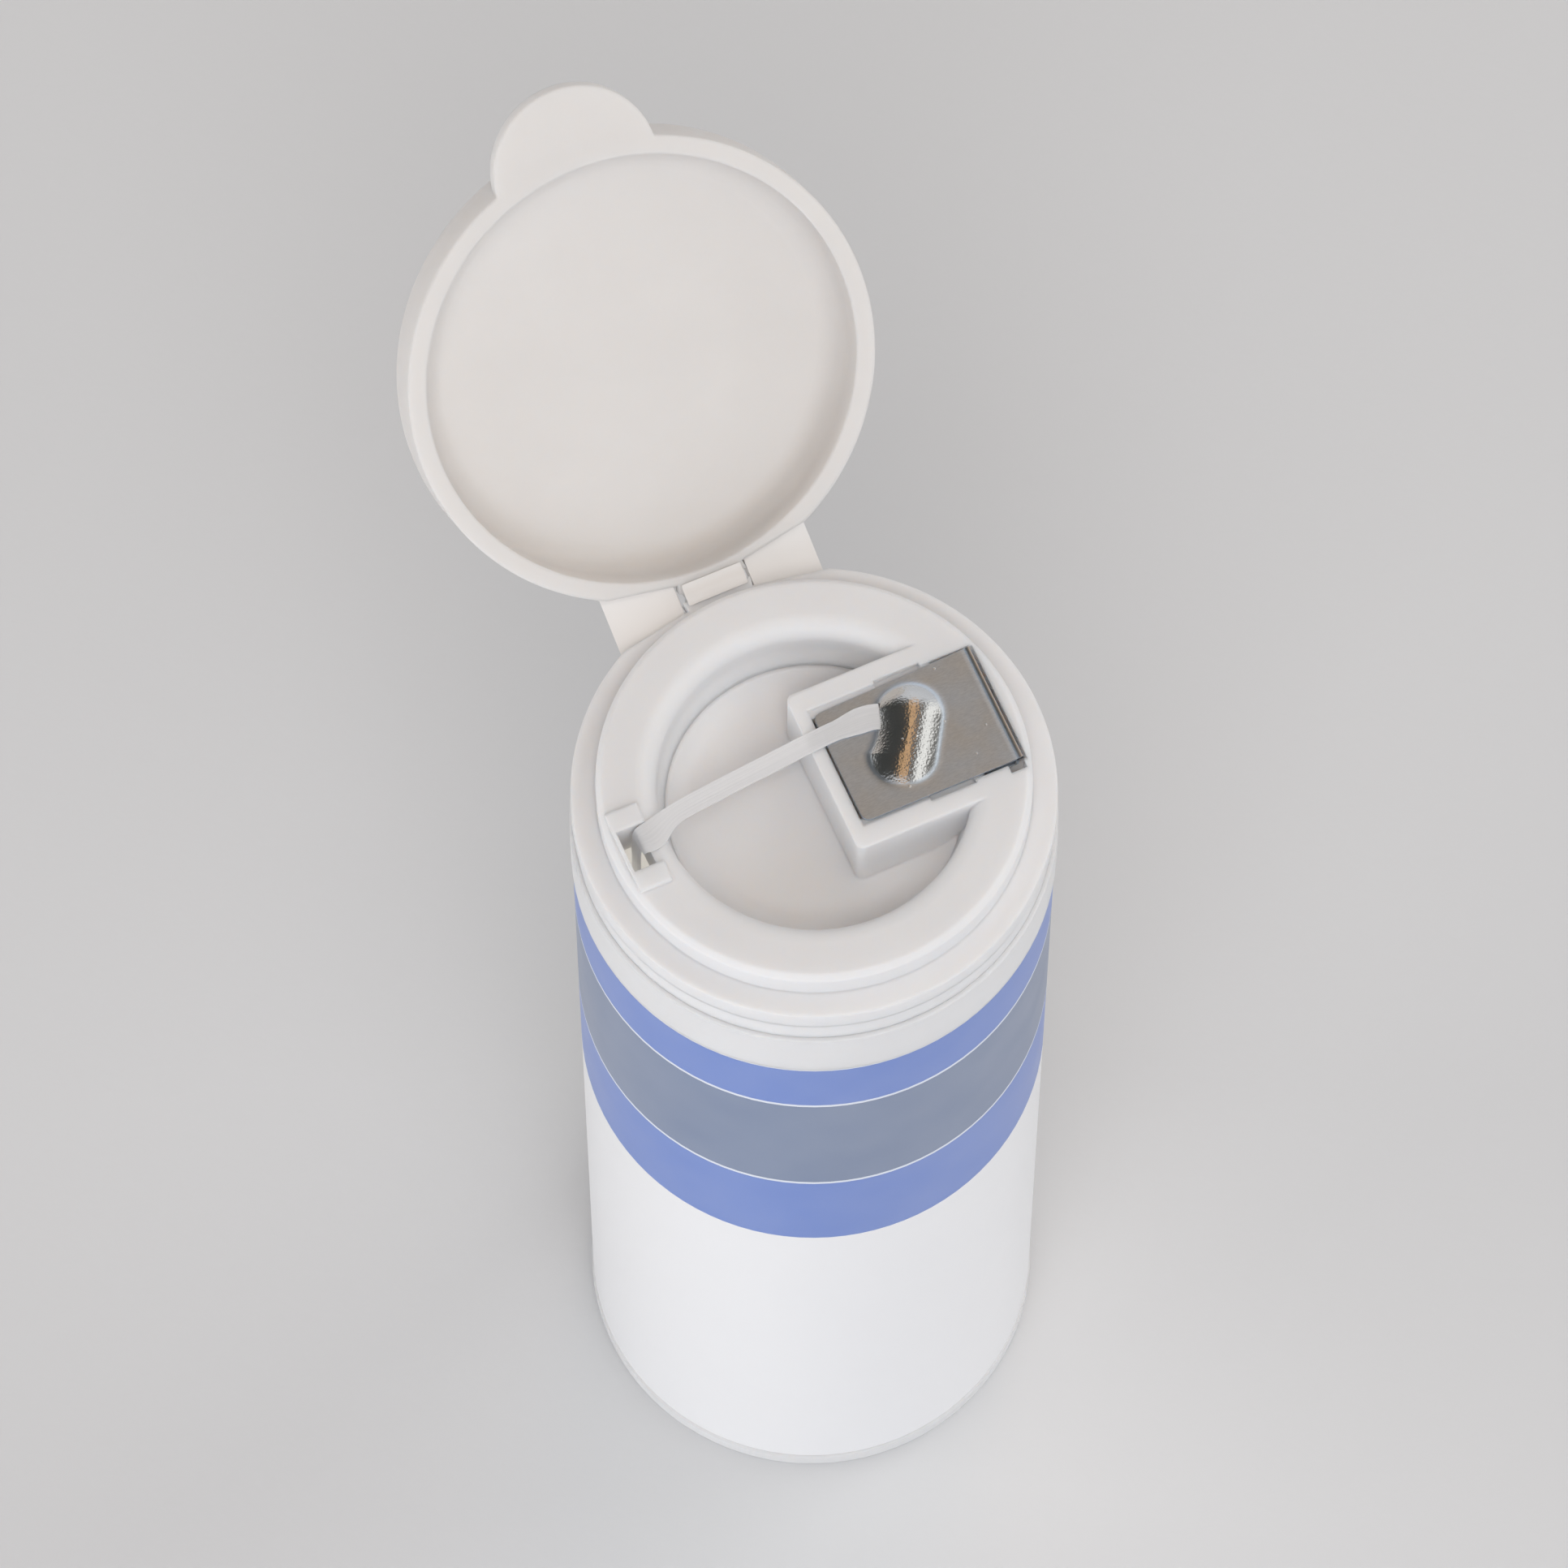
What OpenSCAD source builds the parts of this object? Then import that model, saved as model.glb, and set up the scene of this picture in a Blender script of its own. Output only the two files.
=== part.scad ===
// Round floss bottle with a flip lid, a finger recess and a metal cutter, lid open
// X runs along the lid hinge, +Y points to the hinge, Z is up and the bottle stands on Z = 0

/* [Bottle] */
// Outer radius of the printed panel
panel_r = 20.95; // [17:0.05:26]
// Height of the bottle up to the seam under the cap
body_h = 111.5; // [96:0.5:150]
// Wall thickness of the bottle
bottle_wall = 1.15; // [0.9:0.05:1.5]
// Thickness of the bottle's floor
floor_t = 1.8; // [1.2:0.1:3]
// Rounding where the wall meets the base
base_round = 1.6; // [1:0.1:2.2]
// How far the shoulder stands proud of the panel
shoulder_step = 0.25; // [0.15:0.05:0.6]
// Height of the shoulder above the panel
shoulder_h = 6.5; // [4:0.5:10]
// Height of the raised foot band under the panel
foot_h = 3; // [2.5:0.5:6]
// Height of the neck that the cap snaps over
neck_h = 3.4; // [3:0.1:4.5]
// Depth of the ring-shaped relief in the base
base_relief = 0.4; // [0.2:0.1:1]
// Radius of the flat pad in the middle of the base
base_pad_r = 8; // [5:0.5:12]

/* [Label] */
// Thickness of the label film
label_t = 0.1; // [0.05:0.01:0.13]
// Gap between the label's edge and the step beside it
label_edge = 0.4; // [0.2:0.1:1]

/* [Cap] */
// How far the cap stands out over the printed panel
cap_over = 0.05; // [0:0.05:0.2]
// Height of the cap's skirt, from the seam up to the rim
skirt_h = 5.3; // [4.8:0.1:7]
// Height of the upper band of the skirt
rim_band_h = 2.4; // [1.8:0.1:3]
// How far the lower band of the skirt is set back
band_step = 0.2; // [0.1:0.05:0.35]
// Wall thickness of the skirt
skirt_t = 1.7; // [1.5:0.05:2]
// Thickness of the cap's top walls
cap_t = 1.2; // [0.9:0.1:1.4]
// Width of the ledge between the rim's edge and the raised deck
ledge = 2.2; // [2.2:0.05:2.8]
// Height of the deck above the rim
deck_h = 3; // [2.4:0.1:3.2]
// Bevel of the deck's edge
deck_bevel = 0.5; // [0.2:0.1:0.7]
// Open seam between cap and bottle
seam_gap = 0.2; // [0.1:0.05:0.4]
// Fit between the neck and the skirt
neck_fit = 0.05; // [0.03:0.01:0.1]

/* [Finger recess] */
// Width of the deck round the recess
deck_w = 3.4; // [3:0.1:4]
// Rounding of the recess's edge
bowl_edge = 1.8; // [1:0.1:2.2]
// Depth of the recess below the deck
bowl_depth = 6.8; // [6:0.1:7.4]
// Rounding between the recess's wall and floor
bowl_fillet = 3.6; // [2:0.1:4]

/* [Cutter tray] */
// Outer face of the tray's end wall, from the centre
tray_x = 0.7; // [-1:0.1:1.5]
// Half of the tray's outer width
tray_half = 7.8; // [7.2:0.1:8.6]
// Thickness of the tray's end wall
tray_end_t = 1.27; // [1:0.01:1.5]
// Rounding of the tray's upright corners
tray_round = 0.7; // [0.3:0.1:1]
// Half of the pocket's width
pocket_half = 5.85; // [5.7:0.05:6]
// Deck left outside the pocket's outer end
pocket_rim = 1.33; // [1.1:0.01:1.6]
// Depth of the pocket below the cutter
pocket_deep = 3.2; // [2.6:0.1:3.6]
// Width of the ledges that carry the cutter
ledge_w = 0.75; // [0.6:0.05:1]
// Length of the notch beside the hem
hem_notch_l = 1.5; // [1:0.1:2]
// Depth of the notch beside the hem, out from the pocket
hem_notch_w = 0.75; // [0.4:0.05:0.8]
// Length of the clip notches beside the plate
clip_notch_l = 4.3; // [3:0.1:5]
// Depth of the clip notches, out from the pocket
clip_notch_w = 0.3; // [0.2:0.05:0.5]

/* [Cutter] */
// Gap beside the cutter plate
plate_side_gap = 0.2; // [0.1:0.05:0.4]
// Thickness of the sheet metal
sheet_t = 0.4; // [0.3:0.05:0.5]
// Height of the plate's top above the deck
plate_rise = 0.15; // [0:0.05:0.25]
// Gap between the plate's hemmed end and the pocket's outer wall
plate_end_gap = 0.15; // [0.1:0.01:0.25]
// Gap between the plate's free end and the pocket's inner wall
plate_free_gap = 0.2; // [0.1:0.01:0.4]
// Corner rounding of the plate
plate_corner = 0.8; // [0.4:0.1:1.2]
// Length of the hem turned back under the plate
hem_l = 3; // [2:0.1:4]
// Half of the width of the raised cutting dome
dome_half = 2.95; // [2.4:0.05:3.1]
// Straight length of the cutting dome between its round ends
dome_run = 3.8; // [3:0.1:4.2]
// Rise of the cutting dome above the plate
dome_rise = 1.05; // [0.9:0.05:1.1]
// Angle of the dome's long axis from the plate's length
dome_angle = 57.6; // [50:0.1:65]
// Place of the dome's centre along the plate
dome_x = 8.8; // [8.4:0.1:9.2]
// Place of the dome's centre across the plate
dome_y = 0.3; // [-0.2:0.1:0.6]
// Height of the mouth that the floss slides into
mouth_h = 0.5; // [0.4:0.05:0.6]

/* [Floss outlet] */
// Distance of the outlet slot from the deck's edge
slot_inset = 2.15; // [2:0.05:2.5]
// Size of the slot across its run
slot_w = 2.1; // [1.8:0.1:2.3]
// Size of the slot along the hinge direction's normal
slot_l = 4; // [3.4:0.1:4.4]
// Length of the raised frame round the slot
frame_l = 7.8; // [7:0.1:8.4]
// Height of the frame above the deck
frame_h = 0.5; // [0.3:0.1:0.7]
// Size of the frame towards the centre
frame_w = 3; // [2.9:0.05:3.6]
// Distance of the frame from the deck's edge
frame_edge = 0.8; // [0.8:0.05:1]

/* [Lid] */
// How far the lid's edge lies inside the rim's edge
lid_under = 0.1; // [0.05:0.05:0.2]
// Wall thickness of the lid at its rim
lid_wall = 1.65; // [1.2:0.05:1.7]
// Height of the lid
lid_h = 5.6; // [5.5:0.1:7]
// Thickness of the lid's top
lid_top = 1.2; // [0.8:0.1:1.3]
// Rounding of the lid's outer edge
lid_round = 1.8; // [1:0.1:2.2]
// Rounding of the lid's inner corner
lid_fillet = 2.2; // [1:0.1:2.3]
// Gap under the lid's rim when closed
lid_gap = 0.1; // [0.08:0.02:0.2]
// Radius of the round thumb tab
tab_r = 7.3; // [6:0.1:8]
// Distance of the tab's centre from the lid's centre
tab_y = 19.4; // [18.6:0.1:20.4]
// Thickness of the thumb tab
tab_t = 1.3; // [1:0.1:1.8]

/* [Hinge] */
// Opening angle of the lid
lid_open = 135; // [120:1:145]
// Distance of the hinge line from the cap's wall
hinge_out = 0.1; // [0.05:0.01:0.15]
// Half of the width of the middle web
web_half = 2.8; // [2.2:0.1:2.9]
// Radius of the middle web's bead
web_bead = 0.3; // [0.25:0.05:0.4]
// Inner end of a side strap, from the middle
strap_in = 3.25; // [3.15:0.05:3.5]
// Outer end of a side strap, from the middle
strap_out = 9.6; // [8.5:0.1:10]
// Depth of a strap's fold line behind the hinge line, inner end
fold_in = 0.8; // [0.7:0.05:0.9]
// Depth of a strap's fold line behind the hinge line, outer end
fold_out = 1.97; // [1.6:0.01:2.1]
// Thickness of a side strap
strap_t = 0.7; // [0.5:0.05:0.8]
// Running gap in the fold lines
fold_fit = 0.07; // [0.05:0.01:0.1]
// Gap beside and behind a folded strap
strap_gap = 0.15; // [0.1:0.01:0.2]

/* [Spool] */
// Radius of the post on the bottle's floor
post_r = 4; // [3:0.1:5]
// Running fit of the bobbin on the post
post_fit = 0.08; // [0.05:0.01:0.1]
// Wall of the bobbin's hub
hub_t = 1.1; // [0.8:0.1:1.5]
// Outer radius of the bobbin's barrel
barrel_r = 9; // [7.6:0.1:10.5]
// Wall of the bobbin's barrel
barrel_t = 1; // [0.8:0.1:1.4]
// Length of the bobbin
bobbin_l = 58; // [45:1:66]
// Radius of the bobbin's lower flange
flange_r = 17.5; // [16.5:0.1:18.4]
// Radius of the bobbin's upper collar
collar_r = 10.6; // [9.5:0.1:11.5]
// Thickness of the bobbin's flange, collar and ribs
flange_t = 1.4; // [1:0.1:2]
// Number of ribs between the hub and the barrel
rib_count = 6; // [4:1:8]
// Gap under the bobbin
bobbin_gap = 0.3; // [0.2:0.05:0.4]
// Radius of the wound floss
wound_r = 15.4; // [12.5:0.1:15.4]
// Height of the tapered end of the wound floss
wound_taper = 4; // [2:0.5:8]
// Gap between the wound floss and the bobbin
wound_gap = 0.03; // [0.02:0.01:0.05]

/* [Floss] */
// Width of the floss tape
tape_w = 1.8; // [1.4:0.1:2.2]
// Thickness of the floss tape
tape_t = 0.12; // [0.08:0.01:0.16]

/* [Hidden] */
$fn = 96;
eps = 0.01;
white = [0.86, 0.86, 0.87];
milky = [0.84, 0.83, 0.82];
steel = [0.6, 0.6, 0.6];
label_blue = [0.46, 0.56, 0.8];
floss_white = [0.93, 0.93, 0.93];

// Heights
rim_z = body_h + seam_gap + skirt_h;
deck_z = rim_z + deck_h;
bowl_z = deck_z - bowl_depth;
plate_z = deck_z + plate_rise;

// Sizes that follow from the panel's radius
cap_r = panel_r + cap_over;
deck_r = cap_r - ledge;
lid_r = cap_r - lid_under;
bowl_r = deck_r - deck_w;
slot_x = deck_r - slot_inset;
frame_out = deck_r - frame_edge;
frame_in = frame_out - frame_w;
pocket_x = tray_x + tray_end_t;
pocket_l = deck_r - pocket_rim - pocket_x;
plate_l = pocket_l - plate_end_gap - plate_free_gap;
plate_w = 2 * (pocket_half - plate_side_gap);
hem_room_z = plate_z - 3 * sheet_t - 0.5;

// Bottle
shoulder_r = panel_r + shoulder_step;
panel_low = foot_h;
panel_top = body_h - shoulder_h;
cavity_r = panel_r - bottle_wall;
neck_r = cap_r - skirt_t - neck_fit;
neck_in = neck_r - bottle_wall;
bead = 0.25;
bead_z = body_h + neck_h - 1.1;
neck_clear = 0.3;

// Hinge line and the fold lines of the side straps, from the closed and the open lid
hinge_y = cap_r + hinge_out;
fold_slope = tan((360 - lid_open) / 4);
fold_a = [strap_in, hinge_y - fold_in, -fold_slope * fold_in];
fold_b = [strap_out, hinge_y - fold_out, -fold_slope * fold_out];
fold_len = norm(fold_b - fold_a);
fold_dir = (fold_b - fold_a) / fold_len;
fold_pitch = -asin(fold_dir[2]);
fold_yaw = atan2(fold_dir[1], fold_dir[0]);
chord_a = -2 * fold_a[2];
chord_b = -2 * fold_b[2];
side = fold_dir[2];
fold_r = strap_t / 2 + 0.03;
fold_relief = 0.1;
up = sqrt(1 - side * side);
swing_room = 5;
strap_shape = [[0, 0], [fold_len, 0], [fold_len + chord_b * side, chord_b * up],
    [chord_a * side, chord_a * up]];
// The strap's turn is the angle between its directions in the closed and in the open lid
swing = [0, sin(lid_open / 2), cos(lid_open / 2)];
closed_dir = [0, 0, 1] - side * fold_dir;
open_dir = swing - (swing * fold_dir) * fold_dir;
strap_turn = acos((closed_dir * open_dir) / (norm(closed_dir) * norm(open_dir)));

// Floss route from the winding to the slot and over the recess to the cutter, from the rim:
// each point, then the direction of the tape's width there
route = [
    [[-6.6, -14.2, -62], [0.2, -0.1, 1]], [[-9.4, -12.6, -60.8], [0.2, -0.1, 1]],
    [[-11.8, -10.4, -59], [0.4, -0.3, 1]], [[-13.4, -8.3, -56], [0.8, -0.8, 1]],
    [[-14.3, -6.8, -51], [0.6, -1, 0.4]], [[-15, -5.2, -42], [0.4, -1, 0.2]],
    [[-15.8, -2.6, -25], [0.2, -1, 0.1]], [[0.15 - slot_x, 0.2, -9], [0, -1, 0]],
    [[0.25 - slot_x, 0.7, -2], [0, -1, 0]], [[0.35 - slot_x, 0.85, 1.4], [0, -1, 0]],
    [[0.55 - slot_x, 0.9, 2.6], [0, -1, 0]], [[0.85 - slot_x, 0.92, 3.02], [0, -1, 0]],
    [[1.3 - slot_x, 0.95, 3.16], [0.05, -1, 0]], [[-14.6, 1.12, 3.17], [0.08, -1, 0]],
    [[-12, 1.7, 3.16], [0.08, -1, 0]], [[-8, 2.15, 3.15], [0.08, -1, 0]],
    [[-3.5, 2.56, 3.14], [0.08, -1, 0]], [[0.3, 2.9, 3.15], [0.05, -1, 0]],
    [[1.8, 2.98, 3.21], [0.05, -1, 0]], [[2.6, 3.02, 3.27], [0, -1, 0]],
    [[4.2, 3.05, 3.27], [0, -1, 0]], [[5.6, 3.05, 3.28], [-0.1, -1, 0]],
    [[6.6, 2.95, 3.3], [-0.2, -1, 0]], [[7.4, 2.7, 3.32], [-0.4, -1, 0]]
];

// A flat tape along the route, as one closed skin
function cut(v) = v / norm(v);
function along(i) = cut(route[min(i + 1, len(route) - 1)][0] - route[max(i - 1, 0)][0]);
function across(i) = let (w = route[i][1], t = along(i)) cut(w - (w * t) * t);
function corner(i, s, u) = route[i][0] + [0, 0, rim_z] + across(i) * s * tape_w / 2
    + cross(along(i), across(i)) * u * tape_t / 2;
tape_points = [for (i = [0:len(route) - 1]) each [corner(i, -1, -1), corner(i, 1, -1),
    corner(i, 1, 1), corner(i, -1, 1)]];
tape_sides = [for (i = [0:len(route) - 2], k = [0:3]) let (a = 4 * i + k, b = 4 * i + (k + 1) % 4)
    each [[a, b + 4, b], [a, a + 4, b + 4]]];
last = 4 * (len(route) - 1);
tape_ends = [[0, 1, 2], [0, 2, 3], [last + 2, last + 1, last], [last + 3, last + 2, last]];

module ring(r_out, r_in, z0, z1) {
    translate([0, 0, z0]) difference() {
        cylinder(r = r_out, h = z1 - z0);
        translate([0, 0, -1]) cylinder(r = r_in, h = z1 - z0 + 2);
    }
}

// A round-cornered rectangle in the plane of revolution
module soft_rect(r0, z0, r1, z1, rad) {
    translate([r0, z0]) square([r1 - r0 - rad, z1 - z0]);
    translate([r0, z0 + rad]) square([r1 - r0, z1 - z0 - 2 * rad]);
    translate([r1 - rad, z0 + rad]) circle(r = rad);
    translate([r1 - rad, z1 - rad]) circle(r = rad);
}

module bottle() {
    color(white) union() {
        difference() {
            union() {
                rotate_extrude() soft_rect(0, 0, shoulder_r, body_h, base_round);
                translate([0, 0, body_h / 2]) cylinder(r = neck_r, h = body_h / 2 + neck_h);
                translate([0, 0, body_h - base_round]) cylinder(r = shoulder_r, h = base_round);
                translate([0, 0, bead_z]) rotate_extrude() translate([neck_r - bead, 0])
                    circle(r = 2 * bead, $fn = 48);
            }
            // Panel that the label lies in
            ring(shoulder_r + 1, panel_r, panel_low, panel_top);
            // Inside
            translate([0, 0, floor_t]) cylinder(r = cavity_r, h = body_h - floor_t - 2);
            translate([0, 0, body_h - 3]) cylinder(r = neck_in, h = neck_h + 4);
            translate([0, 0, body_h - 2 - eps]) cylinder(r1 = cavity_r, r2 = neck_in,
                h = cavity_r - neck_in);
            // Relief in the base, between its standing ring and its middle pad
            ring(shoulder_r - 3, base_pad_r, -1, base_relief);
        }
        // Post that the bobbin turns on
        translate([0, 0, floor_t - eps]) cylinder(r = post_r, h = bobbin_l + bobbin_gap + 1.2);
        translate([0, 0, floor_t + bobbin_l + bobbin_gap + 1.2 - 2 * eps])
            cylinder(r1 = post_r, r2 = post_r - 1, h = 1);
    }
}

module label() {
    color(label_blue) ring(panel_r + label_t + 0.02, panel_r + 0.02, panel_low + label_edge,
        panel_top - label_edge);
}

// What the pieces of the bowl's revolved shape take away, down to the floor
module bowl_space() {
    rotate_extrude() difference() {
        union() {
            translate([0, bowl_z + bowl_fillet]) square([bowl_r - bowl_edge, bowl_depth]);
            translate([0, bowl_z]) square([bowl_r - bowl_edge - bowl_fillet, bowl_depth]);
            translate([bowl_r - bowl_edge - bowl_fillet, bowl_z + bowl_fillet]) circle(r = bowl_fillet);
            translate([0, deck_z - bowl_edge]) square([bowl_r, bowl_edge + 1]);
        }
        translate([bowl_r, deck_z - bowl_edge]) circle(r = bowl_edge);
        translate([bowl_r, deck_z - bowl_edge]) square([1, bowl_edge]);
    }
}

// The same shape one wall thickness further out, for the underside
module bowl_shell() {
    out = bowl_r - bowl_edge + cap_t;
    rad = bowl_fillet + cap_t;
    rotate_extrude() {
        translate([0, bowl_z + bowl_fillet]) square([out, bowl_depth - bowl_fillet]);
        translate([0, bowl_z - cap_t]) square([out - rad, rad]);
        intersection() {
            translate([out - rad, bowl_z - cap_t + rad]) circle(r = rad);
            translate([0, bowl_z - cap_t]) square([out, rad + 1]);
        }
    }
}

module fold_frame() {
    translate(fold_a) rotate([0, fold_pitch, fold_yaw]) children();
}

module fold_bead(r, over) {
    translate([-over, 0, 0]) rotate([0, 90, 0]) cylinder(r = r, h = fold_len + 2 * over, $fn = 48);
}

// One side strap, folded out to its place at the open lid
module strap(mirrored) {
    far = strap_shape[3];
    far_turn = atan2(strap_shape[2][1] - far[1], strap_shape[2][0] - far[0]);
    translate([0, 0, rim_z]) mirror([mirrored, 0, 0]) fold_frame() rotate([-strap_turn, 0, 0]) {
        translate([0, strap_t / 2, 0]) rotate([90, 0, 0]) linear_extrude(strap_t) polygon(strap_shape);
        fold_bead(fold_r, 0);
        translate([far[0], 0, far[1]]) rotate([0, -far_turn, 0]) fold_bead(fold_r, 0);
    }
}

module left_strap() {
    color(milky) strap(1);
}

module right_strap() {
    color(milky) strap(0);
}

// Boss that carries a strap's fold line, from the rim down
module fold_boss() {
    intersection() {
        fold_frame() translate([-0.4, -2.6, -2.2]) cube([fold_len + 0.8, 2.6 + fold_relief, 2.2]);
        translate([0, 0, -skirt_h]) cylinder(r = cap_r + 0.9, h = skirt_h);
    }
}

// Space for a strap and its bead, from the rim
module strap_space() {
    reach = strap_t / 2 + strap_gap;
    fold_frame() {
        translate([0, swing_room, 0]) rotate([90, 0, 0]) linear_extrude(swing_room + reach) polygon([
            [-strap_gap, 0], [fold_len + strap_gap, 0],
            [fold_len + strap_gap + (chord_b + 1) * side, (chord_b + 1) * up],
            [(chord_a + 1) * side - strap_gap, (chord_a + 1) * up]]);
        fold_bead(fold_r + fold_fit, strap_gap);
        // Relief outside the fold line for the strap that is folded out
        translate([-strap_gap, fold_relief, -3 * fold_r])
            cube([fold_len + 2 * strap_gap, swing_room, 4 * fold_r]);
    }
}

module both_sides() {
    children();
    mirror([1, 0, 0]) children();
}

module cap_round() {
    difference() {
        union() {
            translate([0, 0, rim_z - rim_band_h]) cylinder(r = cap_r, h = rim_band_h);
            translate([0, 0, rim_z - skirt_h]) cylinder(r = cap_r - band_step, h = skirt_h / 2);
            translate([0, 0, rim_z - eps]) cylinder(r = deck_r, h = deck_h - deck_bevel + eps);
            translate([0, 0, deck_z - deck_bevel]) cylinder(r1 = deck_r, r2 = deck_r - deck_bevel,
                h = deck_bevel);
            translate([0, 0, rim_z]) both_sides() fold_boss();
            // Cradle of the middle web
            translate([-web_half, hinge_y - 1, rim_z - 1.5]) cube([2 * web_half, 1.15, 1.5]);
        }
        difference() {
            union() {
                // Inside the skirt, with the groove for the bottle's bead
                translate([0, 0, rim_z - skirt_h - 1]) cylinder(r = cap_r - skirt_t,
                    h = skirt_h + 1 - cap_t);
                translate([0, 0, bead_z]) rotate_extrude() translate([cap_r - skirt_t - bead, 0])
                    circle(r = 2 * bead + neck_fit, $fn = 48);
                translate([0, 0, rim_z - cap_t - eps]) cylinder(r = deck_r - cap_t, h = deck_h);
            }
            bowl_shell();
            tray_block(0);
            slot_block();
        }
        bowl_space();
    }
}

// Block of the cutter tray, its foot sunk into the bowl's floor
module tray_block(drop) {
    intersection() {
        translate([tray_x, 0, bowl_z - drop]) linear_extrude(bowl_depth + drop) {
            translate([tray_round, -tray_half]) square([deck_r, 2 * tray_half]);
            translate([0, tray_round - tray_half]) square([deck_r, 2 * (tray_half - tray_round)]);
            translate([tray_round, tray_round - tray_half]) circle(r = tray_round);
            translate([tray_round, tray_half - tray_round]) circle(r = tray_round);
        }
        union() {
            cylinder(r = neck_in - neck_clear, h = deck_z);
            translate([0, 0, rim_z - cap_t]) cylinder(r = deck_r - deck_bevel, h = deck_h + cap_t);
        }
    }
}

// Space under the cutter's pocket, open to the inside of the bottle
module tray_hollow() {
    intersection() {
        translate([tray_x + cap_t, -tray_half + cap_t, bowl_z - cap_t - 1])
            cube([deck_r, 2 * (tray_half - cap_t), plate_z - sheet_t - pocket_deep - bowl_z + 1]);
        cylinder(r = neck_in - neck_clear - cap_t, h = deck_z);
    }
}

// Solid part of the deck round the outlet slot
module slot_block() {
    translate([-frame_out, -frame_l / 2, rim_z - cap_t]) cube([frame_w + cap_t, frame_l,
        deck_h + cap_t]);
}

module cap() {
    color(white) difference() {
        union() {
            cap_round();
            tray_block(cap_t / 2);
            // Frame round the outlet slot
            translate([-frame_out, -frame_l / 2, deck_z - 1]) cube([frame_out - frame_in, frame_l,
                1 + frame_h]);
        }
        tray_hollow();
        // Pocket of the cutter, its ledges left standing
        translate([pocket_x, -pocket_half, plate_z - sheet_t]) cube([pocket_l, 2 * pocket_half, deck_h]);
        translate([pocket_x, -pocket_half + ledge_w, plate_z - sheet_t - pocket_deep])
            cube([pocket_l, 2 * (pocket_half - ledge_w), deck_h + pocket_deep]);
        // Room for the hem under the cutter's outer end, and the notch beside it
        translate([pocket_x + pocket_l - hem_l - 1, -pocket_half, hem_room_z])
            cube([hem_l + 1, 2 * pocket_half, deck_h]);
        translate([pocket_x + pocket_l - pocket_rim / 4 - hem_notch_l, -pocket_half - hem_notch_w,
            hem_room_z]) cube([hem_notch_l, hem_notch_w + 1, deck_h]);
        // Notches of the clips beside the plate
        translate([dome_x - clip_notch_l / 8, -pocket_half - clip_notch_w, plate_z - 2 * sheet_t])
            cube([clip_notch_l, 2 * (pocket_half + clip_notch_w), deck_h]);
        // Outlet slot
        translate([-slot_x - slot_w / 2, -slot_l / 2, bowl_z]) cube([slot_w, slot_l,
            bowl_depth + frame_h + 1]);
        // The frame is open towards the recess, where the floss runs out
        translate([-slot_x, -slot_l / 2, deck_z]) cube([slot_x, slot_l, frame_h + 1]);
        // Fold lines
        translate([0, 0, rim_z]) both_sides() strap_space();
        translate([-web_half - strap_gap, hinge_y, rim_z]) rotate([0, 90, 0])
            cylinder(r = web_bead + fold_fit, h = 2 * (web_half + strap_gap), $fn = 48);
    }
}

// The closed lid, from the rim
module lid_closed() {
    r_in = lid_r - lid_wall;
    z_in = lid_h - lid_top;
    difference() {
        union() {
            rotate_extrude() difference() {
                union() {
                    translate([0, lid_gap]) square([lid_r, lid_h - lid_gap - lid_round]);
                    translate([0, lid_gap]) square([lid_r - lid_round, lid_h - lid_gap]);
                    translate([lid_r - lid_round, lid_h - lid_round]) circle(r = lid_round);
                }
                translate([0, -1]) square([r_in, 1 + z_in - lid_fillet]);
                translate([0, -1]) square([r_in - lid_fillet, 1 + z_in]);
                translate([r_in - lid_fillet, z_in - lid_fillet]) circle(r = lid_fillet);
            }
            // Thumb tab
            difference() {
                translate([0, -tab_y, lid_gap]) cylinder(r = tab_r, h = tab_t);
                translate([0, 0, -1]) cylinder(r = lid_r - lid_wall / 2, h = tab_t + 2);
            }
            // Bosses of the fold lines and the middle web
            intersection() {
                mirror([0, 0, 1]) both_sides() fold_boss();
                ring(lid_r + 2, r_in + 0.4, lid_gap, lid_h - lid_round);
            }
            translate([-web_half, hinge_y - 1.4, lid_gap]) cube([2 * web_half, 1.4, 1]);
            translate([-web_half, hinge_y, 0]) rotate([0, 90, 0])
                cylinder(r = web_bead, h = 2 * web_half, $fn = 48);
        }
        mirror([0, 0, 1]) both_sides() strap_space();
    }
}

module lid() {
    color(milky) translate([0, hinge_y, rim_z]) rotate([-lid_open, 0, 0])
        translate([0, -hinge_y, 0]) lid_closed();
}

// A long dome: two ball ends joined by a round run, cut off at the plate's top
module dome_form(half, rise) {
    ball = (half * half + rise * rise) / (2 * rise);
    translate([dome_x, dome_y, plate_z]) rotate([0, 0, dome_angle]) intersection() {
        translate([0, 0, rise - ball]) {
            translate([dome_run / 2, 0, 0]) sphere(r = ball);
            translate([-dome_run / 2, 0, 0]) sphere(r = ball);
            translate([-dome_run / 2, 0, 0]) rotate([0, 90, 0]) cylinder(r = ball, h = dome_run);
        }
        translate([-dome_run / 2 - half - 1, -half - 1, 0]) cube([dome_run + 2 * half + 2,
            2 * half + 2, rise + 1]);
    }
}

module dome_hole(half) {
    translate([dome_x, dome_y, plate_z - sheet_t - 1]) rotate([0, 0, dome_angle]) {
        translate([dome_run / 2, 0, 0]) cylinder(r = half, h = sheet_t + 2);
        translate([-dome_run / 2, 0, 0]) cylinder(r = half, h = sheet_t + 2);
        translate([-dome_run / 2, -half, 0]) cube([dome_run, 2 * half, sheet_t + 2]);
    }
}

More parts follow.
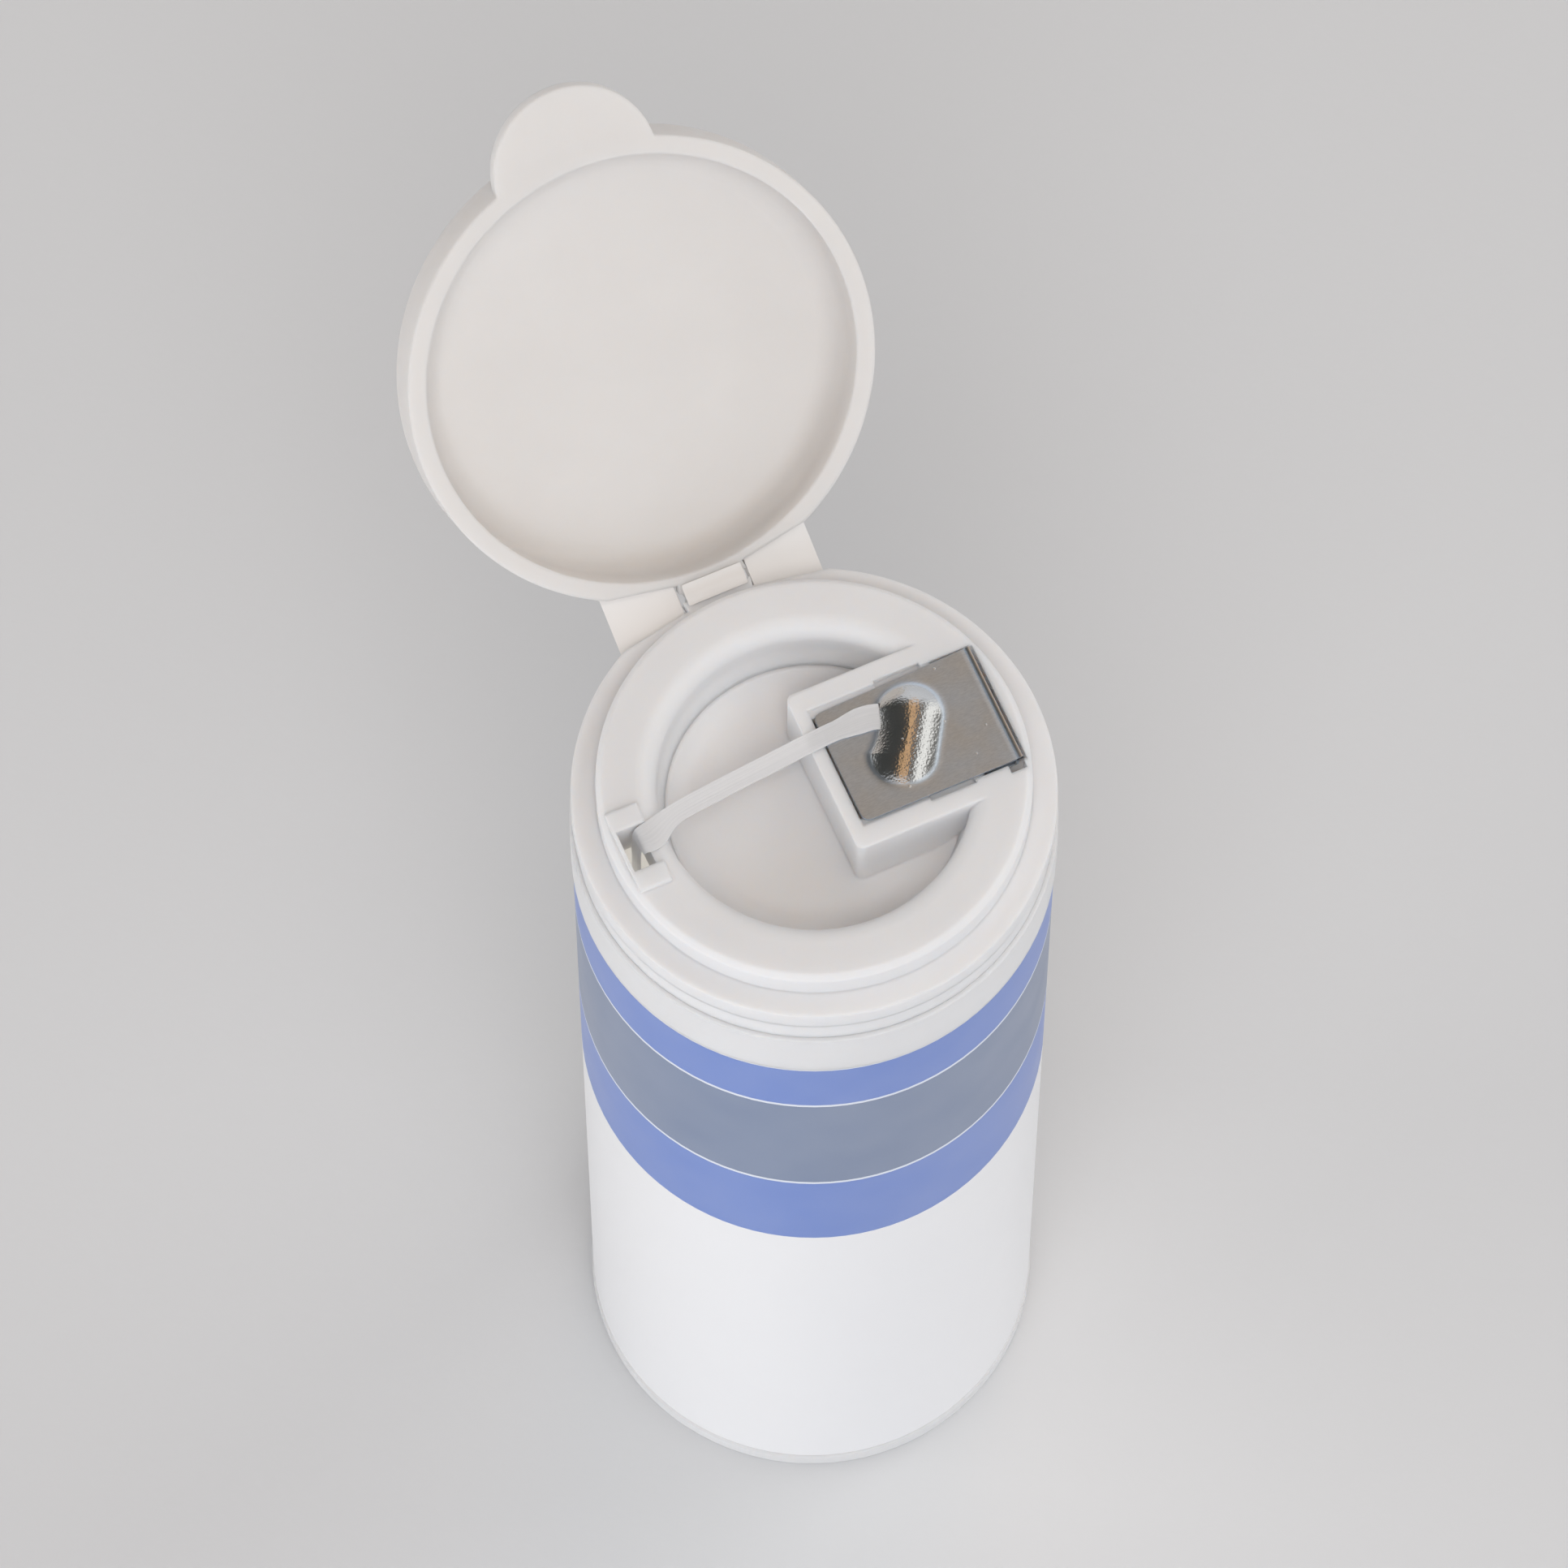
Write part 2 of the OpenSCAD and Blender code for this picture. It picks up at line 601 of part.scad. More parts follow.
module cutter() {
    x1 = pocket_x + pocket_l - plate_end_gap;
    x0 = x1 - plate_l;
    bend = 1.5 * sheet_t;
    color(steel) union() {
        // Plate with rounded free corners
        difference() {
            translate([x0, -plate_w / 2, plate_z - sheet_t]) {
                translate([plate_corner, 0, 0]) cube([plate_l - plate_corner - bend, plate_w, sheet_t]);
                translate([0, plate_corner, 0]) cube([plate_corner + eps, plate_w - 2 * plate_corner,
                    sheet_t]);
                translate([plate_corner, plate_corner, 0]) cylinder(r = plate_corner, h = sheet_t, $fn = 48);
                translate([plate_corner, plate_w - plate_corner, 0]) cylinder(r = plate_corner,
                    h = sheet_t, $fn = 48);
            }
            dome_hole(dome_half - sheet_t);
        }
        // Hem turned down and back under the outer end
        translate([x1 - bend, plate_w / 2, plate_z - bend]) rotate([90, 0, 0]) difference() {
            cylinder(r = bend, h = plate_w, $fn = 48);
            translate([0, 0, -1]) cylinder(r = bend - sheet_t, h = plate_w + 2, $fn = 48);
            translate([-2 * bend, -2 * bend, -1]) cube([2 * bend, 4 * bend, plate_w + 2]);
        }
        translate([x1 - bend - hem_l, -plate_w / 2, plate_z - 2 * bend]) cube([hem_l + eps, plate_w,
            sheet_t]);
        // Cutting dome, its wall cut free along the side that faces the slot
        difference() {
            dome_form(dome_half, dome_rise);
            translate([0, 0, -eps]) dome_form(dome_half - sheet_t, dome_rise - sheet_t + eps);
            translate([dome_x, dome_y, plate_z - eps]) rotate([0, 0, dome_angle])
                translate([-dome_run / 2 - 1, dome_half / 2, -1]) cube([dome_run + 2,
                    dome_half, 1 + mouth_h]);
        }
    }
}

module bobbin() {
    z0 = floor_t + bobbin_gap;
    bore = post_r + post_fit;
    color(milky) translate([0, 0, z0]) union() {
        ring(bore + hub_t, bore, 0, bobbin_l);
        ring(barrel_r, barrel_r - barrel_t, 0, bobbin_l);
        ring(flange_r, barrel_r - barrel_t, 0, flange_t);
        ring(collar_r, barrel_r - barrel_t, bobbin_l - flange_t, bobbin_l);
        ring(barrel_r - barrel_t / 2, bore + hub_t / 2, 0, flange_t);
        for (k = [0:rib_count - 1]) rotate([0, 0, k * 360 / rib_count])
            translate([bore + hub_t / 2, -flange_t / 2, 0]) cube([barrel_r - bore - (hub_t + barrel_t) / 2,
                flange_t, bobbin_l - flange_t]);
    }
}

module floss_winding() {
    z0 = floor_t + bobbin_gap + flange_t + wound_gap;
    z1 = floor_t + bobbin_gap + bobbin_l - flange_t - wound_gap;
    r0 = barrel_r + wound_gap;
    color(floss_white) rotate_extrude() polygon([[r0, z0], [wound_r, z0],
        [wound_r, z1 - wound_taper], [collar_r, z1], [r0, z1]]);
}

module floss_strand() {
    color(floss_white) polyhedron(points = tape_points, faces = concat(tape_sides, tape_ends));
}

bottle();
label();
cap();
lid();
left_strap();
right_strap();
cutter();
bobbin();
floss_winding();
floss_strand();
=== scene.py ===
"""A floss bottle with its flip lid open, dressed for a studio picture.

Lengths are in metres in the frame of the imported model: Z up, the bottle standing on Z = 0 and the
lid's hinge line along X at the back.
"""

import math

import bmesh
import bpy
from mathutils import Matrix, Vector


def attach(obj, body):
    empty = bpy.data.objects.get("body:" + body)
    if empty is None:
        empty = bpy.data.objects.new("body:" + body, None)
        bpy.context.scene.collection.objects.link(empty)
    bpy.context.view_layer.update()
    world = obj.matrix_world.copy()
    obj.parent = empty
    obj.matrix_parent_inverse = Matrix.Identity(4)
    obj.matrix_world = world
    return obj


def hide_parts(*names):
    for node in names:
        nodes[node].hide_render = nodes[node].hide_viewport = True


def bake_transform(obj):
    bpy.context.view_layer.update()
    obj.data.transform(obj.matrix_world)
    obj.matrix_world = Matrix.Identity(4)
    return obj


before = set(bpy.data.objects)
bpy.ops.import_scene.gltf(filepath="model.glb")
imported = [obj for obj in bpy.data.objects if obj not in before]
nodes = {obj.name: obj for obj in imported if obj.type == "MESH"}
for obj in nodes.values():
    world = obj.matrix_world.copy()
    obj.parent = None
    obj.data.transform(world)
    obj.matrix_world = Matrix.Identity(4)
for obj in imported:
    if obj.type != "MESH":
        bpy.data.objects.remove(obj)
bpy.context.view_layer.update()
bpy.ops.object.select_all(action="DESELECT")

MM = 0.001

# Heights of the cap's rim and of the cutter's sheet, and the hinge line's place, as in the solids
RIM_Z = 117 * MM
PLATE_Z = 120.15 * MM
HINGE_Y = 21.1

# Camera, fitted to the photograph, which looks down on the cap from the front left: the point it aims
# at in millimetres, its angles, its distance in metres and its lens
CAMERA_AIM = (-2.16, 1.51, 117.21)
AZIMUTH, ELEVATION, CAMERA_ROLL = math.radians(-24), math.radians(66.98), math.radians(-0.045)
CAMERA_FAR, CAMERA_LENS = 0.85, 226.6


def place_camera():
    level = math.cos(ELEVATION)
    back = Vector((math.sin(AZIMUTH) * level, -math.cos(AZIMUTH) * level, math.sin(ELEVATION)))
    bpy.ops.object.camera_add(location=Vector(CAMERA_AIM) * MM + back * CAMERA_FAR)
    camera = bpy.context.object
    turn = (-back).to_track_quat("-Z", "Y")
    camera.rotation_mode = "QUATERNION"
    camera.rotation_quaternion = turn @ Matrix.Rotation(CAMERA_ROLL, 3, "Z").to_quaternion()
    camera.data.sensor_width = 36
    camera.data.lens = CAMERA_LENS
    camera.data.clip_start = 0.01
    camera.data.clip_end = 20
    bpy.context.scene.camera = camera


# Materials
def linear(code):
    """An sRGB hex colour as the linear values that a shader reads."""
    parts = [int(code[i:i + 2], 16) / 255 for i in (1, 3, 5)]
    return [c / 12.92 if c <= 0.04045 else ((c + 0.055) / 1.055) ** 2.4 for c in parts] + [1]


def blank(name):
    material = bpy.data.materials.new(name)
    material.use_nodes = True
    material.node_tree.nodes.clear()
    return material


def add(owner, kind, sockets=None, **settings):
    """Adds one node. A socket is named or numbered, and takes a value or another node's output."""
    new = owner.node_tree.nodes.new("ShaderNode" + kind)
    for name, value in settings.items():
        setattr(new, name, value)
    for name, value in (sockets or {}).items():
        if isinstance(value, bpy.types.NodeSocket):
            owner.node_tree.links.new(value, new.inputs[name])
        else:
            new.inputs[name].default_value = value
    return new


def ramp(owner, value, tones, interpolation="LINEAR"):
    """The colour for a value from 0 to 1, out of places and tones in rising order."""
    new = add(owner, "ValToRGB", {"Fac": value})
    new.color_ramp.interpolation = interpolation
    stops = new.color_ramp.elements
    while len(stops) < len(tones):
        stops.new(0.5)
    for stop, (spot, tone) in zip(stops, tones):
        stop.position = spot
        stop.color = linear(tone)
    return new.outputs["Color"]


def band(owner, value, low, high, least=0.0, most=1.0):
    """A soft step of a value from one level to another."""
    step = add(owner, "MapRange", {"Value": value, "From Min": low, "From Max": high, "To Min": least,
                                   "To Max": most}, interpolation_type="SMOOTHSTEP")
    return step.outputs["Result"]


# Radii between which the glow inside the bottle fades away in its wall
SOAK_IN, SOAK_OUT = 19.7 * MM, 20.0 * MM


def moulded_polypropylene(name, pale, shade, rough, glow, depth, grain, soften, soak=0.0):
    """Injection-moulded polypropylene: milky, with a satin skin from the eroded mould, faint flow
    clouds, and edges rounded by `soften` mm. Light travels `depth` mm under the surface. Inside the
    bottle a glow as strong as `soak` stands for the daylight that comes through its wall."""
    m = blank(name)
    place = add(m, "TexCoord").outputs["Object"]
    clouds = add(m, "TexNoise", {"Vector": place, "Scale": 1 / (9 * MM), "Detail": 3, "Roughness": 0.55})
    flow = add(m, "TexNoise", {"Vector": place, "Scale": 1 / (5 * MM), "Detail": 2, "Distortion": 0.8})
    # The eroded grain is about 0.05 mm and is drawn at 0.4 mm so that it shows
    skin = add(m, "TexNoise", {"Vector": place, "Scale": 1 / (0.4 * MM), "Detail": 1})
    tint = add(m, "Mix", {0: clouds.outputs["Fac"], 6: linear(pale), 7: linear(shade)}, data_type="RGBA")
    gloss = add(m, "MapRange", {"Value": flow.outputs["Fac"], "From Min": 0.3, "From Max": 0.7,
                                "To Min": rough - 0.04, "To Max": rough + 0.05})
    edge = add(m, "Bevel", {"Radius": soften * MM}, samples=6)
    ripple = add(m, "Bump", {"Strength": 1, "Distance": 0.03 * MM, "Height": flow.outputs["Fac"],
                             "Normal": edge.outputs["Normal"]})
    texture = add(m, "Bump", {"Strength": 1, "Distance": grain * MM, "Height": skin.outputs["Fac"],
                              "Normal": ripple.outputs["Normal"]})
    shader = add(m, "BsdfPrincipled", {
        "Base Color": tint.outputs[2], "Roughness": gloss.outputs["Result"], "IOR": 1.49,
        "Subsurface Weight": glow, "Subsurface Radius": (1.0, 0.9, 0.82), "Subsurface Scale": depth * MM,
        "Normal": texture.outputs["Normal"]})
    if soak:
        flat = add(m, "VectorMath", {0: place, 1: (1, 1, 0)}, operation="MULTIPLY")
        reach = add(m, "VectorMath", {0: flat.outputs["Vector"]}, operation="LENGTH")
        inside = band(m, reach.outputs["Value"], SOAK_IN, SOAK_OUT, soak, 0)
        m.node_tree.links.new(inside, shader.inputs["Emission Strength"])
        shader.inputs["Emission Color"].default_value = linear("#efe9dd")
    add(m, "OutputMaterial", {"Surface": shader.outputs["BSDF"]})
    return m


# Height of each band's lower edge in millimetres, and its colour: printed ink, but the last band, along
# the label's top edge, is painted shade
PRINT_AND_EDGE_SHADE_BANDS = ((0, "#f3f3f5"), (63, "#5f80cc"), (76.9, "#e4e9f4"), (77.3, "#6f80a0"), (95.8, "#e4e9f4"),
        (96.2, "#5f80cc"), (104.2, "#dfe1e6"))
INK_SPAN = 110


def printed_film_label():
    """A wrapped polypropylene film, printed in flat bands and varnished: slightly cloudy ink under a
    soft gloss, and a faintly rippled surface where the glue lies thicker."""
    m = blank("printed_film_label")
    place = add(m, "TexCoord").outputs["Object"]
    height = add(m, "SeparateXYZ", {"Vector": place}).outputs["Z"]
    share = add(m, "MapRange", {"Value": height, "From Max": INK_SPAN * MM})
    bands = ramp(m, share.outputs["Result"], [(z / INK_SPAN, ink) for z, ink in PRINT_AND_EDGE_SHADE_BANDS], "CONSTANT")
    # The ink lies a little uneven, in clouds about 8 mm wide
    screen = add(m, "TexNoise", {"Vector": place, "Scale": 1 / (8 * MM), "Detail": 1})
    dots = add(m, "MapRange", {"Value": screen.outputs["Fac"], "To Max": 0.08})
    ink = add(m, "Mix", {0: dots.outputs["Result"], 6: bands, 7: linear("#ffffff")}, data_type="RGBA")
    glue = add(m, "TexNoise", {"Vector": place, "Scale": 1 / (6 * MM), "Detail": 1})
    rough = add(m, "MapRange", {"Value": glue.outputs["Fac"], "To Min": 0.3, "To Max": 0.42})
    wave = add(m, "Bump", {"Strength": 1, "Distance": 0.03 * MM, "Height": glue.outputs["Fac"]})
    shader = add(m, "BsdfPrincipled", {
        "Base Color": ink.outputs[2], "Roughness": rough.outputs["Result"], "IOR": 1.5,
        "Coat Weight": 0.25, "Coat Roughness": 0.3, "Normal": wave.outputs["Normal"]})
    add(m, "OutputMaterial", {"Surface": shader.outputs["BSDF"]})
    return m


def rolled_stainless_steel():
    """Cold-rolled stainless sheet, stamped and folded: a satin grey with a fine rolling grain along the
    plate and small pits from the press, dented in and painted bright as painted glints. The punch has
    polished the dome, and the metal that it stretched is finely uneven, so its highlight sparkles."""
    m = blank("rolled_stainless_steel")
    place = add(m, "TexCoord").outputs["Object"]
    height = add(m, "SeparateXYZ", {"Vector": place}).outputs["Z"]
    drawn = add(m, "MapRange", {"Value": height, "From Min": PLATE_Z + 0.02 * MM,
                                "From Max": PLATE_Z + 0.25 * MM})
    along = add(m, "Mapping", {"Vector": place, "Scale": (0.3, 1, 1)})
    # The rolling grain is under 0.05 mm and is drawn at 0.14 mm so that it shows
    grain = add(m, "TexNoise", {"Vector": along.outputs["Vector"], "Scale": 1 / (0.14 * MM), "Detail": 3,
                                "Roughness": 0.65})
    patches = add(m, "TexNoise", {"Vector": place, "Scale": 1 / (3 * MM), "Detail": 4, "Roughness": 0.6})
    pits = add(m, "TexVoronoi", {"Vector": place, "Scale": 1 / (1.5 * MM)})
    # The pits are dented in the relief and painted brighter in the colour, as painted glints
    pit_dents_and_glints = add(m, "MapRange", {"Value": pits.outputs["Distance"], "From Min": 0.05, "From Max": 0.09,
                                "To Min": 1, "To Max": 0})
    steel = add(m, "Mix", {0: grain.outputs["Fac"], 6: linear("#bdc9d6"), 7: linear("#e3edf8")},
                data_type="RGBA")
    polished = add(m, "Mix", {0: drawn.outputs["Result"], 6: steel.outputs[2], 7: linear("#cfcdca")},
                   data_type="RGBA")
    pit_glints = add(m, "Mix", {0: pit_dents_and_glints.outputs["Result"], 6: polished.outputs[2], 7: linear("#f2f1ef")},
               data_type="RGBA")
    rough = add(m, "MapRange", {"Value": patches.outputs["Fac"], "From Min": 0.3, "From Max": 0.7,
                                "To Min": 0.42, "To Max": 0.52})
    satin = add(m, "MapRange", {"Value": drawn.outputs["Result"], "To Min": 1, "To Max": 0.42})
    gloss = add(m, "Math", {0: rough.outputs["Result"], 1: satin.outputs["Result"]},
                operation="MULTIPLY")
    lines = add(m, "Bump", {"Strength": 1, "Distance": 0.008 * MM, "Height": grain.outputs["Fac"]})
    dents = add(m, "Bump", {"Strength": 1, "Distance": 0.02 * MM, "Height": pit_dents_and_glints.outputs["Result"],
                            "Normal": lines.outputs["Normal"]})
    peel = add(m, "TexVoronoi", {"Vector": place, "Scale": 1 / (0.2 * MM)}, feature="SMOOTH_F1")
    uneven = add(m, "Math", {0: peel.outputs["Distance"], 1: drawn.outputs["Result"]},
                 operation="MULTIPLY")
    sparkle = add(m, "Bump", {"Strength": 1, "Distance": 0.02 * MM, "Height": uneven.outputs[0],
                              "Normal": dents.outputs["Normal"]})
    shader = add(m, "BsdfPrincipled", {
        "Base Color": pit_glints.outputs[2], "Metallic": 1, "Roughness": gloss.outputs[0],
        "Normal": sparkle.outputs["Normal"]})
    add(m, "OutputMaterial", {"Surface": shader.outputs["BSDF"]})
    return m


def expanded_ptfe_tape():
    """Stretched PTFE tape: soft white and slippery, with light soaking a little way in, and fine lines
    along it from the drawing."""
    m = blank("expanded_ptfe_tape")
    run = add(m, "UVMap", uv_map="UVMap")
    # The lines of the real tape are under 0.05 mm apart. These are 0.15 mm apart, over 2 mm of width,
    # so that they show
    lines = add(m, "Mapping", {"Vector": run.outputs["UV"], "Scale": (2.0 / 0.15, 5, 1)})
    fibre = add(m, "TexNoise", {"Vector": lines.outputs["Vector"], "Scale": 1, "Detail": 3})
    tint = add(m, "Mix", {0: fibre.outputs["Fac"], 6: linear("#e6e6e8"), 7: linear("#d4d5d8")},
               data_type="RGBA")
    relief = add(m, "Bump", {"Strength": 1, "Distance": 0.02 * MM, "Height": fibre.outputs["Fac"]})
    shader = add(m, "BsdfPrincipled", {
        "Base Color": tint.outputs[2], "Roughness": 0.38, "IOR": 1.38, "Subsurface Weight": 0.5,
        "Subsurface Radius": (1.0, 1.0, 1.0), "Subsurface Scale": 0.4 * MM,
        "Normal": relief.outputs["Normal"]})
    add(m, "OutputMaterial", {"Surface": shader.outputs["BSDF"]})
    return m


# The tape's width, the winding's length in the map's height, and about how many bands a plain wave has
TAPE_WIDE, WOUND_LONG, WAVE_BANDS = 2, 55, 3.3


def wound_ptfe_tape():
    """The same tape laid in crossing turns on the bobbin: the edge of each turn casts a fine line,
    painted as shade in the colour and raised in the relief.
    """
    m = blank("wound_ptfe_tape")
    run = add(m, "UVMap", uv_map="UVMap")
    turns = []
    for lean in (0.32, -0.32):
        slope = add(m, "Mapping", {"Vector": run.outputs["UV"], "Rotation": (0, 0, lean)})
        turns.append(add(m, "TexWave", {"Vector": slope.outputs["Vector"],
                                        "Scale": WOUND_LONG / TAPE_WIDE / WAVE_BANDS,
                                        "Distortion": 0.6, "Detail": 1}, bands_direction="Y",
                         wave_profile="SAW"))
    over = add(m, "Math", {0: turns[0].outputs["Fac"], 1: turns[1].outputs["Fac"]}, operation="MAXIMUM")
    # Painted shade: each turn is darker towards one edge, where the turns step over each other
    tint = add(m, "Mix", {0: over.outputs[0], 6: linear("#dcdcdf"), 7: linear("#f2f2f3")},
               data_type="RGBA")
    relief = add(m, "Bump", {"Strength": 1, "Distance": 0.1 * MM, "Height": over.outputs[0]})
    shader = add(m, "BsdfPrincipled", {
        "Base Color": tint.outputs[2], "Roughness": 0.4, "IOR": 1.38, "Subsurface Weight": 0.3,
        "Subsurface Radius": (1.0, 1.0, 1.0), "Subsurface Scale": 0.5 * MM,
        "Normal": relief.outputs["Normal"]})
    add(m, "OutputMaterial", {"Surface": shader.outputs["BSDF"]})
    return m


# Modelling helpers
def finish_mesh(piece, name, material, smooth_deg):
    """Applies the place and every modifier, and names and shades the piece."""
    bpy.ops.object.mode_set(mode="OBJECT")
    bpy.ops.object.select_all(action="DESELECT")
    bpy.context.view_layer.objects.active = piece
    piece.select_set(True)
    for modifier in list(piece.modifiers):
        bpy.ops.object.modifier_apply(modifier=modifier.name)
    bpy.ops.object.transform_apply(location=True, rotation=True, scale=True)
    bpy.ops.object.shade_smooth_by_angle(angle=math.radians(smooth_deg))
    piece.name = piece.data.name = name
    piece.data.materials.clear()
    piece.data.materials.append(material)
    bpy.ops.object.select_all(action="DESELECT")
    return piece


def pick(piece, test, kind):
    """In edit mode, selects the edges or faces that pass a test on their middle."""
    form = bmesh.from_edit_mesh(piece.data)
    for group in (form.verts, form.edges, form.faces):
        for item in group:
            item.select_set(False)
    for item in getattr(form, kind):
        if kind == "edges":
            middle = (item.verts[0].co + item.verts[1].co) / 2
        else:
            middle = item.calc_center_median()
        if test(middle):
            item.select_set(True)
    form.select_flush(True)
    bmesh.update_edit_mesh(piece.data)


def selected_height(piece):
    """Mean height of what is selected in edit mode."""
    form = bmesh.from_edit_mesh(piece.data)
    chosen = [v.co.z for v in form.verts if v.select]
    return sum(chosen) / len(chosen)


# Cutter plate
# Its inner and outer ends, half width, thickness, free corners and how much narrower its free end is
PLATE_IN, PLATE_OUT, PLATE_HALF, SHEET, CORNER, NARROW = 2.17, 17.32, 5.65, 0.3, 0.8, 0.08
# The outer end rolls over by LEAN in ROLL mm, then folds with FOLD mm of radius, HEM_HEIGHT mm down and
# HEM_RUN mm back under the plate
FOLD, ROLL, HEM_HEIGHT, HEM_RUN = 0.3, 0.9, 0.5, 3
LEAN = math.radians(24)
EDGE = PLATE_OUT - FOLD * (1 - math.sin(LEAN))
# The dome is a slot with round ends: its middle, turn, half width, straight run and rise
DOME_AT, DOME_TURN, DOME_HALF, DOME_RUN, DOME_RISE = (8.8, 0.3), math.radians(57.6), 2.95, 3.8, 1.05
# How soft its foot is, and how deep the foot's thin tail sinks under the plate's face
DOME_SOFT, DOME_SINK = 0.1, 0.02
# The foot fades into the flat plate over FADE mm, which end BEYOND mm outside the dome
BEYOND, FADE = 0.9, 0.4
# A circle that draws the dome's side in: its place along, its radius and how far it stands off
WAIST_AT, WAIST_RADIUS, WAIST_OFF = 0.2, 6.0, 5.6
# The strip cut free as a mouth: limits inside the outline and along the dome, and least place across
MOUTH_IN, MOUTH_RUN, MOUTH_ACROSS = (-0.02, 0.3), (0, 2.5), 0.6


def dome_depth(x, y):
    """How far a point of the plate lies inside the dome's outline, and its place along and across."""
    dx, dy = x - DOME_AT[0], y - DOME_AT[1]
    s = dx * math.cos(DOME_TURN) + dy * math.sin(DOME_TURN)
    t = -dx * math.sin(DOME_TURN) + dy * math.cos(DOME_TURN)
    over = max(abs(s) - DOME_RUN / 2, 0)
    inside = DOME_HALF - math.hypot(over, t)
    # The side that faces the outlet is drawn in a little, like a bean
    waist = math.hypot(s + WAIST_AT, t - (DOME_HALF + WAIST_OFF)) - WAIST_RADIUS
    return min(inside, waist), s, t


def dome_height(inside):
    """A drawn arch with a small radius where it leaves the plate."""
    if inside <= -BEYOND:
        return 0
    ball = (DOME_HALF ** 2 + DOME_RISE ** 2) / (2 * DOME_RISE)
    reach = max(DOME_HALF - inside, 0)
    arch = math.sqrt(max(ball ** 2 - reach ** 2, 0)) - (ball - DOME_RISE)
    return max((arch + math.sqrt(arch ** 2 + 4 * DOME_SOFT ** 2)) / 2 - DOME_SINK, 0)


def cutter_plate(steel):
    length = EDGE - PLATE_IN
    bpy.ops.mesh.primitive_grid_add(x_subdivisions=180, y_subdivisions=140, size=1,
                                    location=((PLATE_IN + length / 2) * MM, 0, PLATE_Z))
    piece = bpy.context.object
    piece.scale = (length * MM, 2 * PLATE_HALF * MM, 1)
    bpy.ops.object.transform_apply(location=True, rotation=True, scale=True)
    for v in piece.data.vertices:
        x, y = v.co.x / MM, v.co.y / MM
        # Free corners are rounded, in the manner of a stamped blank
        cx, cy = PLATE_IN + CORNER, PLATE_HALF - CORNER
        if x < cx and abs(y) > cy:
            px, py = cx - x, abs(y) - cy
            square, far = max(px, py), math.hypot(px, py)
            if far > 0:
                x, y = cx - px * square / far, math.copysign(cy + py * square / far, y)
        inside = dome_depth(x, y)[0]
        rise = dome_height(inside) * min(max((inside + BEYOND) / FADE, 0), 1)
        # The sheet rolls over before the fold at the outer end
        drop = math.tan(LEAN) * ROLL / 2 * max((x - (EDGE - ROLL)) / ROLL, 0) ** 2
        # The blank is a little narrower at its free end, on the side towards the hinge
        if y > 0:
            free = (PLATE_OUT - x) / (PLATE_OUT - PLATE_IN)
            y *= 1 - NARROW * free * min(max((y - 3.5) / 2, 0), 1)
        v.co = (x * MM, y * MM, PLATE_Z + (rise - drop) * MM)
    # Mouth: the strip along the side that faces the outlet is cut free
    bpy.ops.object.mode_set(mode="EDIT")
    bpy.ops.mesh.select_mode(type="FACE")

    def in_mouth(p):
        inside, s, t = dome_depth(p.x / MM, p.y / MM)
        return (MOUTH_IN[0] < inside < MOUTH_IN[1] and t > MOUTH_ACROSS
                and MOUTH_RUN[0] < s < MOUTH_RUN[1])

    pick(piece, in_mouth, "faces")
    bpy.ops.mesh.delete(type="FACE")
    # Hem: the outer edge is turned down and back under the plate
    bpy.ops.mesh.select_mode(type="EDGE")
    edge_x = EDGE * MM
    pick(piece, lambda p: abs(p.x - edge_x) < 0.002 * MM, "edges")
    edge_z = selected_height(piece)
    turn = FOLD * MM
    middle_x, middle_z = edge_x - turn * math.sin(LEAN), edge_z - turn * math.cos(LEAN)
    bpy.ops.mesh.spin(steps=5, angle=math.radians(90) - LEAN, center=(middle_x, 0, middle_z),
                      axis=(0, 1, 0))
    bpy.ops.mesh.extrude_region_move(TRANSFORM_OT_translate={"value": (0, 0, -HEM_HEIGHT * MM)})
    bpy.ops.mesh.spin(steps=6, angle=math.radians(90), center=(middle_x, 0, middle_z - HEM_HEIGHT * MM),
                      axis=(0, 1, 0))
    bpy.ops.mesh.extrude_region_move(TRANSFORM_OT_translate={"value": (-HEM_RUN * MM, 0, 0)})
    bpy.ops.mesh.select_all(action="SELECT")
    bpy.ops.mesh.remove_doubles(threshold=0.0005 * MM)
    # An open sheet has no inside, so its faces are turned up where they come out face down
    bpy.ops.mesh.normals_make_consistent(inside=False)
    bpy.ops.object.mode_set(mode="OBJECT")
    up = sum(p.normal.z for p in piece.data.polygons if p.center.z > PLATE_Z - SHEET * MM)
    if up < 0:
        bpy.ops.object.mode_set(mode="EDIT")
        bpy.ops.mesh.select_all(action="SELECT")
        bpy.ops.mesh.flip_normals()
        bpy.ops.object.mode_set(mode="OBJECT")
    thick = piece.modifiers.new("sheet", "SOLIDIFY")
    thick.thickness = SHEET * MM
    thick.offset = -1
    rounded = piece.modifiers.new("broken_edges", "BEVEL")
    rounded.width = 0.05 * MM
    rounded.segments = 2
    rounded.limit_method = "ANGLE"
    rounded.angle_limit = math.radians(50)
    return finish_mesh(piece, "cutter_plate", steel, 35)


# Floss tape: half its width, what that gains at the dome's mouth and on the outlet's lip, how far its
# edges curl up, and its thickness
TAPE_HALF, TAPE_SPREAD, TAPE_FAN, TAPE_CUP, TAPE_THICK = 0.9, 0.3, 0.45, 0.03, 0.1
